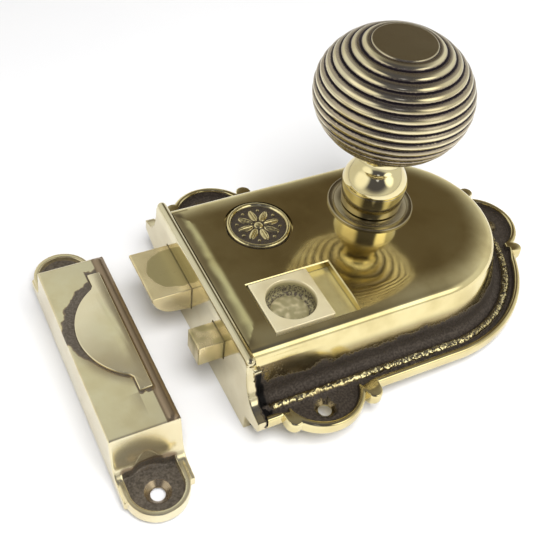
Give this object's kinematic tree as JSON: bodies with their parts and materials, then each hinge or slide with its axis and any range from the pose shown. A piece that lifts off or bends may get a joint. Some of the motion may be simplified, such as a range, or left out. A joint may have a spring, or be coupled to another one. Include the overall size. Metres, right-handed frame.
{
  "type": "rim night latch",
  "caption": "Cast brass rim night latch with a reeded ball knob, sprung latch bolt, thumb-slide night bolt, round-tailed case with three screw ears, and a separate box keep.",
  "frame": {"origin": "on the plane of the case's back, on the centre line of the case, level with the knob's spindle", "axes": "+X from the fore-end towards the rounded tail, +Y across the case towards the latch bolt and the knob's side, +Z out of the door towards the knob"},
  "size_m": [0.1804, 0.1204, 0.101],
  "materials": {
    "case_brass": "polished cast brass with dark brown patina in the hollows",
    "polished_brass": "polished cast brass",
    "knob_brass": "polished turned brass, dark between the reeds",
    "bolt_brass": "polished brass with worn edges",
    "hidden_brass": "plain machined brass",
    "steel": "plain steel",
    "spring_steel": "blued spring steel"
  },
  "bodies": {
    "lock_case": {"case": "case_brass", "fore_end_plate": "polished_brass", "fore_end_rivet_near": "polished_brass", "fore_end_rivet_middle": "polished_brass", "fore_end_rivet_far": "polished_brass", "back_plate": "hidden_brass", "back_plate_screw_front_near": "steel", "back_plate_screw_front_far": "steel", "back_plate_screw_tail_near": "steel", "back_plate_screw_tail_far": "steel", "medallion": "case_brass", "knob_bush": "polished_brass", "latch_spring": "spring_steel", "latch_spring_stop": "hidden_brass", "latch_bar_staple": "hidden_brass", "click_spring": "spring_steel", "click_spring_post": "hidden_brass"},
    "knob": {"knob_ball": "knob_brass", "knob_shank": "polished_brass", "knob_grub_screw": "steel", "spindle": "steel", "follower": "hidden_brass"},
    "latch": {"latch_bolt": "bolt_brass"},
    "night_slide": {"night_bolt": "bolt_brass", "thumb_slide": "polished_brass", "slide_cover_plate": "hidden_brass", "slide_rivet": "hidden_brass"},
    "keep": {"keep_box": "polished_brass", "keep_crescent": "polished_brass"}
  },
  "joints": [
    {"name": "knob_turn", "type": "hinge", "parent": "lock_case", "child": "knob", "pos_m": [0, 0.0123, 0.03], "axis": [0, 0, -1], "range_deg": [0, 50]},
    {"name": "latch_draw", "type": "slide", "parent": "lock_case", "child": "latch", "axis": [1, 0, 0], "range_m": [0, 0.014], "deforming": ["latch_spring"]},
    {"name": "night_bolt_slide", "type": "slide", "parent": "lock_case", "child": "night_slide", "axis": [1, 0, 0], "range_m": [0, 0.0087]},
    {"name": "keep_distance", "type": "slide", "parent": "lock_case", "child": "keep", "axis": [1, 0, 0], "range_m": [-0.02, 0.005]}
  ],
  "couplings": [
    {"joint": "latch_draw", "follows": "knob_turn", "m_per_rad": 0.01604}
  ]
}
